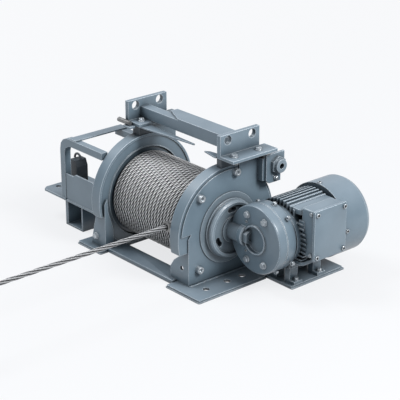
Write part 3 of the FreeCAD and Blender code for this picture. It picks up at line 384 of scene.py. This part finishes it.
# ---- wire rope: free end and winding
ropeSet = {
    "radius": 0.0055,       # the recorded rope
    "drawnRadius": 0.0047,  # the rope as the photo shows it
    "strands": 5,
    "strandShare": 0.38,    # strand radius in the drawn radius
    "strandArc": (-95, -45, 0, 45, 95),
    "crestLow": 0.74,       # share of the drawn radius where the crest value is zero
    "lay": 0.047,           # one full turn of a strand on the drum
    "freeLay": 0.16,
    "step": 0.0064,         # length of one mesh step
    "minSteps": 8,
    "route": [(0.1286, -0.0048, 0.0280), (0.1286, -0.0510, 0.0156), (0.1286, -0.0972, 0.0280),
              (0.1286, -0.1270, 0.0567), (0.1255, -0.1475, 0.0840), (0.1170, -0.1575, 0.1040),
              (0.1130, -0.1580, 0.1280), (0.1130, -0.1820, 0.1280), (0.1130, -0.6100, 0.1270)],
    "drumAxis": (-0.051, 0.108),
    "turns": 24,
    "perTurn": 48,          # guide points in one turn
    "firstX": -0.1013,
    "lastX": 0.1286,
    "windRadius": 0.0872,
    "lastAngle": 300.0,
    "flankGain": 2.6, "flankFrom": 0.1, "flankLeast": 0.02,
    "routeOrder": 3, "routeSteps": 24,
}


def guideCurve(name, points, smooth=False):
    data = bpy.data.curves.new(name, "CURVE")
    data.dimensions = "3D"
    data.twist_mode = "MINIMUM"
    line = data.splines.new("NURBS" if smooth else "POLY")
    line.points.add(len(points) - 1)
    for spot, place in zip(line.points, points):
        spot.co = (*place, 1)
    if smooth:
        line.order_u = ropeSet["routeOrder"]
        line.use_endpoint_u = True
        data.resolution_u = ropeSet["routeSteps"]
    item = bpy.data.objects.new(name, data)
    bpy.context.scene.collection.objects.link(item)
    return item


def readPoints(curve):
    flat = bpy.data.meshes.new_from_object(curve)
    points = [vertex.co.copy() for vertex in flat.vertices]
    bpy.data.meshes.remove(flat)
    return points


def strandedRope(name, points, body, standsFor, lay, radius, look):
    # a lobed section screwed straight along X, then laid along the points
    s = ropeSet
    long = pathLength(points)
    strand = radius * s["strandShare"]
    bm = bmesh.new()
    ring = []
    for lobe in range(s["strands"]):
        middle = 2 * math.pi * lobe / s["strands"]
        centre = Vector((0, math.cos(middle), math.sin(middle))) * (radius - strand)
        for part in s["strandArc"]:
            angle = middle + math.radians(part)
            ring.append(bm.verts.new(centre + Vector((0, math.cos(angle), math.sin(angle))) * strand))
    edges = [bm.edges.new((a, b)) for a, b in zip(ring, ring[1:] + ring[:1])]
    steps = max(s["minSteps"], round(long / s["step"]))
    made = bmesh.ops.spin(bm, geom=ring + edges, cent=(0, 0, 0), axis=(1, 0, 0), dvec=(long / steps, 0, 0),
                          angle=2 * math.pi * long / lay, steps=steps, use_duplicate=False)
    last = [edge for edge in made["geom_last"] if isinstance(edge, bmesh.types.BMEdge)]
    bmesh.ops.contextual_create(bm, geom=edges)
    bmesh.ops.contextual_create(bm, geom=last)
    bmesh.ops.recalc_face_normals(bm, faces=bm.faces)
    crest = bm.verts.layers.float.new("crest")
    low = radius * s["crestLow"]
    for vertex in bm.verts:
        reach = math.hypot(vertex.co.y, vertex.co.z)
        vertex[crest] = max(0, min(1, (reach - low) / (radius - low)))
    uv = bm.loops.layers.uv.new("ropeMap")
    rate = 2 * math.pi / lay
    for face in bm.faces:
        base = None
        for loop in face.loops:
            co = loop.vert.co
            turn = (math.atan2(co.z, co.y) - rate * co.x) / (2 * math.pi) % 1
            base = turn if base is None else base
            turn += (turn < base - 0.5) - (turn > base + 0.5)
            loop[uv].uv = (co.x, turn)
    piece = meshPiece(name, bm, "wire_rope", body, standsFor)
    piece.data.materials[0] = look
    guide = guideCurve(name + "Guide", points)
    bend = piece.modifiers.new("lay", "CURVE")
    bend.object = guide
    bend.deform_axis = "POS_X"
    bpy.context.view_layer.update()
    depsgraph = bpy.context.evaluated_depsgraph_get()
    laid = bpy.data.meshes.new_from_object(piece.evaluated_get(depsgraph))
    piece.modifiers.clear()
    piece.data = laid
    bpy.data.objects.remove(guide)
    return piece


def darkenFlanks(piece):
    # painted shade: the crest value falls off where neighbouring turns touch, so each turn darkens on its
    # flanks
    s = ropeSet
    axisY, axisZ = s["drumAxis"]
    for vertex, crest in zip(piece.data.vertices, piece.data.attributes["crest"].data):
        out = math.hypot(vertex.co.y - axisY, vertex.co.z - axisZ)
        share = (out - s["windRadius"]) / s["drawnRadius"]
        crest.value *= max(s["flankLeast"], min(1, share * s["flankGain"] + s["flankFrom"]))


def windingPoints():
    points = []
    s = ropeSet
    for index in range(s["turns"] * s["perTurn"] + 1):
        turn = index / s["perTurn"]
        along = s["firstX"] + (s["lastX"] - s["firstX"]) * turn / s["turns"]
        angle = math.radians(s["lastAngle"] + 360 * (s["turns"] - turn))
        points.append(Vector((along, s["drumAxis"][0] + s["windRadius"] * math.cos(angle),
                              s["drumAxis"][1] + s["windRadius"] * math.sin(angle))))
    return points


def makeRopes():
    route = guideCurve("ropeRoute", [Vector(spot) for spot in ropeSet["route"]], smooth=True)
    points = readPoints(route)
    bpy.data.objects.remove(route)
    free = strandedRope("ropeStrands", points, "frame", ("rope_free",), ropeSet["freeLay"],
                        ropeSet["drawnRadius"], ropeFinish("tautWire", freeLook))
    darkenFlanks(strandedRope("drumWinding", windingPoints(), "drum", ("rope_wraps",), ropeSet["lay"],
                               ropeSet["drawnRadius"], finishes["wire_rope"]))


# ---- bolts: every head of the frame model is made again with its washer, chamfer or socket
boltRows = {  # node: axis, way the head points, kind
    "bracket_bolts": (2, 1, "hex"), "motor_foot_bolts": (2, 1, "hex"), "leg_bolts": (1, -1, "hex"),
    "channel_leg_bolt": (0, -1, "hex"), "gland_plate_bolt": (0, 1, "hex"), "gear_cover_bolts": (1, -1, "hex"),
    "casing_cap_screws": (0, 1, "cap"),
}
boltShift = {"gear_cover_bolts": (-0.0075, -0.002, 0.0005)}     # the gear shell lies a little to one side
boltSet = {
    "washer": 1.24, "washerTall": 0.24,     # in the head's width and height
    "socket": 0.5, "socketDeep": 0.5, "sides": 20, "acrossFlats": 0.94, "turnStep": 0.7,
}


def islands(data):
    # low and high corner of each loose part of a mesh
    bm = bmesh.new()
    bm.from_mesh(data)
    bmesh.ops.remove_doubles(bm, verts=bm.verts, dist=1e-5)
    left = set(bm.verts)
    boxes = []
    while left:
        group, edge = set(), [left.pop()]
        while edge:
            vertex = edge.pop()
            group.add(vertex)
            for link in vertex.link_edges:
                other = link.other_vert(vertex)
                if other in left:
                    left.discard(other)
                    edge.append(other)
        places = [vertex.co for vertex in group]
        low = Vector([min(spot[i] for spot in places) for i in range(3)])
        high = Vector([max(spot[i] for spot in places) for i in range(3)])
        boxes.append((low, high))
    bm.free()
    return sorted(boxes, key=lambda box: tuple(round(v, 4) for v in box[0]))


def addRing(bm, sides, radius, height):
    made = bmesh.ops.create_circle(bm, cap_ends=False, segments=sides, radius=radius)
    bmesh.ops.translate(bm, verts=made["verts"], vec=(0, 0, height))
    return [edge for edge in bm.edges if all(vertex in made["verts"] for vertex in edge.verts)]


def addLathe(bm, rings, sides):
    # rings of radius, height and perhaps their own number of sides, bridged in turn and closed at both ends
    loops = [addRing(bm, ring[2] if len(ring) > 2 else sides, ring[0], ring[1]) for ring in rings]
    for first, second in zip(loops, loops[1:]):
        bmesh.ops.bridge_loops(bm, edges=first + second)
    bmesh.ops.contextual_create(bm, geom=loops[0])
    bmesh.ops.contextual_create(bm, geom=loops[-1])


def addSpin(bm, profile, sides):
    # profile of (radius, height) turned round Z
    line = [bm.verts.new((radius, 0, height)) for radius, height in profile]
    edges = [bm.edges.new(pair) for pair in zip(line, line[1:])]
    bmesh.ops.spin(bm, geom=line + edges, cent=(0, 0, 0), axis=(0, 0, 1), angle=2 * math.pi, steps=sides,
                   use_merge=True, use_duplicate=False)
    bmesh.ops.remove_doubles(bm, verts=bm.verts, dist=1e-6)


def headShape(kind, across, tall):
    # a socket cap, or a hexagon head on its washer
    s = boltSet
    bm = bmesh.new()
    half = across / 2
    if kind == "cap":
        hole = half * s["socket"]
        addLathe(bm, [(half, 0), (half, tall * 0.88), (half * 0.9, tall), (hole * 1.12, tall),
                      (hole, tall * 0.94, 6), (hole, tall * (1 - s["socketDeep"]), 6)], s["sides"])
    else:
        seat, brim = tall * s["washerTall"], half * s["washer"]
        addLathe(bm, [(brim, 0), (brim, seat * 0.8), (brim * 0.96, seat), (half * 0.8, seat)], s["sides"])
        addLathe(bm, [(half * 1.06, seat * 0.9, 6), (half * 1.06, tall * 0.9, 6), (half * 0.92, tall, 6)], 6)
    bmesh.ops.recalc_face_normals(bm, faces=bm.faces)
    return bm


def addHead(whole, kind, across, tall, seat, point, turn):
    bm = headShape(kind, across, tall)
    bm.transform(facing(seat, point) @ Matrix.Rotation(turn, 4, "Z"))
    pourInto(whole, bm)


def makeBolts():
    s = boltSet
    for label, (axis, way, kind) in boltRows.items():
        whole = bmesh.new()
        for index, (low, high) in enumerate(islands(nodes[label].data)):
            size = high - low
            tall = size[axis]
            across = min(size[(axis + 1) % 3], size[(axis + 2) % 3])
            across *= s["acrossFlats"] if kind == "hex" else 1
            seat = (low + high) / 2
            seat[axis] = low[axis] if way > 0 else high[axis]
            seat += Vector(boltShift.get(label, (0, 0, 0)))
            point = Vector((0, 0, 0))
            point[axis] = way
            addHead(whole, kind, across, tall, seat, point, index * s["turnStep"])
        meshPiece(label + "Heads", whole, slotOf[label], "frame", (label,), smooth=False)


# ---- small screws that the frame model leaves out
screwSet = {
    "gear": (0.2500, -0.018, 0.108), "lugReach": 0.0735, "lugAngles": (48, 82, 120, 240, 285, 330),
    "lugHead": (0.0095, 0.0055), "lugTurn": 0.5,        # heads: width and height
    "plugs": [(0.220, -0.057, 0.141), (0.219, -0.057, 0.078)], "plugHead": (0.006, 0.0012), "plugTurn": 0.3,
    "cover": (0.252, 0.114, 0.108), "coverRadius": 0.0797, "coverHead": (0.0085, 0.003), "coverCount": 4,
}


def makeScrews():
    s = screwSet
    lugs = bmesh.new()
    for index, degrees in enumerate(s["lugAngles"]):
        angle = math.radians(degrees)
        seat = Vector(s["gear"]) + Vector((math.cos(angle), 0, math.sin(angle))) * s["lugReach"]
        addHead(lugs, "cap", *s["lugHead"], seat, (0, -1, 0), index * s["lugTurn"])
    for spot in s["plugs"]:
        addHead(lugs, "cap", *s["plugHead"], Vector(spot), (0, -1, 0), s["plugTurn"])
    meshPiece("gearFlangeScrews", lugs, "zinc_steel", "frame", smooth=False)
    cover = bmesh.new()
    for index in range(s["coverCount"]):
        angle = index * 2 * math.pi / s["coverCount"]
        out = Vector((math.cos(angle), 0, math.sin(angle)))
        addHead(cover, "cap", *s["coverHead"], Vector(s["cover"]) + out * s["coverRadius"], out, 0)
    meshPiece("coverScrews", cover, "zinc_steel", "frame", smooth=False)


# ---- gear case, fan cover mouth, terminal box and front tie, remade with the photo's proportions
gearSet = {
    "centre": (0.2445, -0.0570, 0.1085), "sides": 96,
    "profile": [  # radius, depth behind the face
        (0, 0.0055), (0.0215, 0.0055), (0.0262, 0.0044), (0.0272, 0.0020), (0.0276, -0.0026),
        (0.0290, -0.0034), (0.0306, -0.0026), (0.0310, 0.0002), (0.0335, 0), (0.0680, 0), (0.0700, 0.0006),
        (0.0712, 0.0022), (0.0715, 0.0040), (0.0715, 0.0205), (0.0704, 0.0210), (0.0704, 0.0222),
        (0.0715, 0.0227), (0.0715, 0.0430), (0.0700, 0.0455), (0.0660, 0.0475), (0.0660, 0.0500),
        (0, 0.0500)],
    "collarX": 0.2050,
    "collar": [  # radius, distance along the shaft
        (0, 0.0010), (0.02068, 0), (0.0220, 0.0012), (0.0220, 0.0118), (0.02068, 0.0130), (0, 0.0130)],
    "collarSides": 64, "sharp": 34,
}
shieldSet = {
    "centre": (0.2520, 0.1100, 0.1080), "sides": 72, "sharp": 34,
    "profile": [  # radius, depth
        (0.0500, 0), (0.0768, 0), (0.0778, 0.0010), (0.0778, 0.0040), (0.0500, 0.0040), (0.0500, 0)],
}
boxSet = {  # low corner, high corner, edge radius, corner radius, axis across the plate, node it stands for
    "Case": ((0.3120, 0.0060, 0.0810), (0.3440, 0.0890, 0.1820), 0.0016, 0.004, 0, "terminal_box"),
    "Gasket": ((0.3440, 0.0066, 0.0816), (0.3452, 0.0884, 0.1814), 0.0002, 0.004, 0, None),
    "Cover": ((0.3452, 0.0020, 0.0780), (0.3505, 0.0910, 0.1850), 0.0020, 0.005, 0, "terminal_lid"),
    "Shelf": ((0.2500, 0.0060, 0.1640), (0.3105, 0.1020, 0.1748), 0.0022, 0.010, 2, None),
    "Neck": ((0.2900, 0.0330, 0.0700), (0.3125, 0.0960, 0.1650), 0.0016, 0.004, 0, None),
    "Ledge": ((0.2650, 0.0020, 0.0590), (0.3180, 0.0960, 0.0665), 0.0018, 0.008, 2, None),
    "Tie": ((-0.0910, -0.1665, 0.0010), (0.1200, -0.1210, 0.0100), 0.0012, 0.001, 2, "tie_front"),
}
boxSharp = 40
boxScrews = {
    "lid": [(0.3505, y, z) for y in (0.0090, 0.0835) for z in (0.0865, 0.1765)], "lidHead": (0.009, 0.0032),
    "side": [(0.3370, 0.0060, z) for z in (0.0885, 0.1750)], "sideHead": (0.008, 0.0028), "turn": 0.6,
}


def turnedPart(profile, sides, place, point):
    bm = bmesh.new()
    addSpin(bm, profile, sides)
    bm.transform(facing(place, point))
    return bm


def makeGear():
    s = gearSet
    whole = turnedPart([(radius, -depth) for radius, depth in s["profile"]], s["sides"],
                       Vector(s["centre"]), (0, -1, 0))
    pourInto(whole, turnedPart(s["collar"], s["collarSides"],
                               Vector((s["collarX"], *ropeSet["drumAxis"])), (1, 0, 0)))
    bmesh.ops.recalc_face_normals(whole, faces=whole.faces)
    piece = meshPiece("gearShell", whole, "slate_paint", "frame", ("gear_case",))
    piece.data.set_sharp_from_angle(angle=math.radians(s["sharp"]))


def makeShield():
    # a plate that closes the mouth of the fan cover
    s = shieldSet
    disc = turnedPart(s["profile"], s["sides"], Vector(s["centre"]), (0, 1, 0))
    bmesh.ops.recalc_face_normals(disc, faces=disc.faces)
    piece = meshPiece("coverShield", disc, "slate_paint", "frame")
    piece.data.set_sharp_from_angle(angle=math.radians(s["sharp"]))


def makeTerminalBox():
    for name, (low, high, edge, corner, across, label) in boxSet.items():
        low, high = Vector(low), Vector(high)
        bm = bmesh.new()
        bmesh.ops.create_cube(bm, size=1)
        bmesh.ops.scale(bm, verts=bm.verts, vec=high - low)
        bmesh.ops.translate(bm, verts=bm.verts, vec=(low + high) / 2)
        upright = [e for e in bm.edges if abs(e.verts[0].co[across] - e.verts[1].co[across]) > 0.001]
        bmesh.ops.bevel(bm, geom=upright, offset=corner, segments=5, profile=0.5, affect="EDGES",
                        material=-1)
        rim = [e for e in bm.edges if all(v.co[across] > high[across] - 1e-5 for v in e.verts)]
        bmesh.ops.bevel(bm, geom=rim, offset=edge, segments=2, profile=0.5, affect="EDGES", material=-1)
        slot = "dark_pad" if name == "Gasket" else "slate_paint"
        piece = meshPiece("terminal" + name, bm, slot, "frame", (label,) if label else ())
        piece.data.set_sharp_from_angle(angle=math.radians(boxSharp))
    s = boxScrews
    screws = bmesh.new()
    for spots, head, point in ((s["lid"], s["lidHead"], (1, 0, 0)), (s["side"], s["sideHead"], (0, -1, 0))):
        for index, spot in enumerate(spots):
            addHead(screws, "cap", *head, Vector(spot), point, index * s["turn"])
    meshPiece("terminalScrews", screws, "zinc_steel", "frame", ("lid_screws",), smooth=False)


# ---- weld beads
beadSet = {
    "radius": 0.0026, "ripple": 0.0031, "perRipple": 3, "sides": 7, "minSteps": 4,
    "swell": 0.2, "swellFrom": 0.82, "wave": 0.12, "waveRate": 1.7,
    "lines": [
        ((0.1610, -0.155, 0.0060), (0.1610, 0.053, 0.0060)),
        ((0.1480, -0.0372, 0.2640), (0.1480, -0.0372, 0.2880)),
        ((0.1480, -0.0390, 0.2640), (0.1480, -0.0170, 0.2640)),
        ((-0.1330, -0.0390, 0.2640), (-0.1330, -0.0170, 0.2640)),
        ((-0.2790, -0.1480, 0.0650), (-0.2630, -0.1480, 0.0650)),
    ],
}


def makeWelds():
    # rows of short swells along each seam
    s = beadSet
    bm = bmesh.new()
    for start, end in s["lines"]:
        start, end = Vector(start), Vector(end)
        way = (end - start).normalized()
        steps = max(s["minSteps"], round((end - start).length / s["ripple"] * s["perRipple"]))
        ring = bmesh.ops.create_circle(bm, cap_ends=False, segments=s["sides"], radius=s["radius"])["verts"]
        bmesh.ops.transform(bm, verts=ring, matrix=facing(start, way))
        edges = list({edge for vertex in ring for edge in vertex.link_edges})
        first, radius = list(edges), s["radius"]
        for index in range(1, steps + 1):
            made = bmesh.ops.extrude_edge_only(bm, edges=edges)["geom"]
            ring = [piece for piece in made if isinstance(piece, bmesh.types.BMVert)]
            edges = [piece for piece in made if isinstance(piece, bmesh.types.BMEdge)]
            middle = start.lerp(end, index / steps)
            swell = s["swellFrom"] + s["swell"] * (index % s["perRipple"]) / 2
            wanted = s["radius"] * swell * (1 + s["wave"] * math.sin(index * s["waveRate"]))
            bmesh.ops.translate(bm, verts=ring, vec=(end - start) / steps)
            bmesh.ops.scale(bm, verts=ring, vec=[wanted / radius] * 3, space=Matrix.Translation(-middle))
            radius = wanted
        bmesh.ops.contextual_create(bm, geom=first)
        bmesh.ops.contextual_create(bm, geom=edges)
    bmesh.ops.recalc_face_normals(bm, faces=bm.faces)
    meshPiece("weldBeads", bm, "slate_paint", "frame")


# ---- floor and world
def makeFloor():
    bm = bmesh.new()
    bmesh.ops.create_grid(bm, x_segments=1, y_segments=1, size=stageSet["floorSize"])
    bmesh.ops.translate(bm, verts=bm.verts, vec=(0, 0, stageSet["floorZ"]))
    data = bpy.data.meshes.new("floor")
    bm.to_mesh(data)
    bm.free()
    data.materials.append(floorFinish())
    floor = bpy.data.objects.new("floor", data)
    bpy.context.scene.collection.objects.link(floor)


def makeWorld():
    world = bpy.data.worlds.new("studio")
    bpy.context.scene.world = world
    world.use_nodes = True
    tree = world.node_tree
    tree.nodes.clear()
    out = tree.nodes.new("ShaderNodeOutputWorld")
    sky = tree.nodes.new("ShaderNodeBackground")
    sky.inputs["Color"].default_value = stageSet["worldColour"]
    sky.inputs["Strength"].default_value = stageSet["worldLight"]
    tree.links.new(sky.outputs[0], out.inputs["Surface"])


# ---- scene
makeCamera()
makeFloor()
makeWorld()
makeLamps()
makeRopes()
makeBolts()
makeScrews()
makeGear()
makeTerminalBox()
makeShield()
makeWelds()
bpy.context.scene.view_settings.view_transform = "Standard"
print("winch: stage ready")
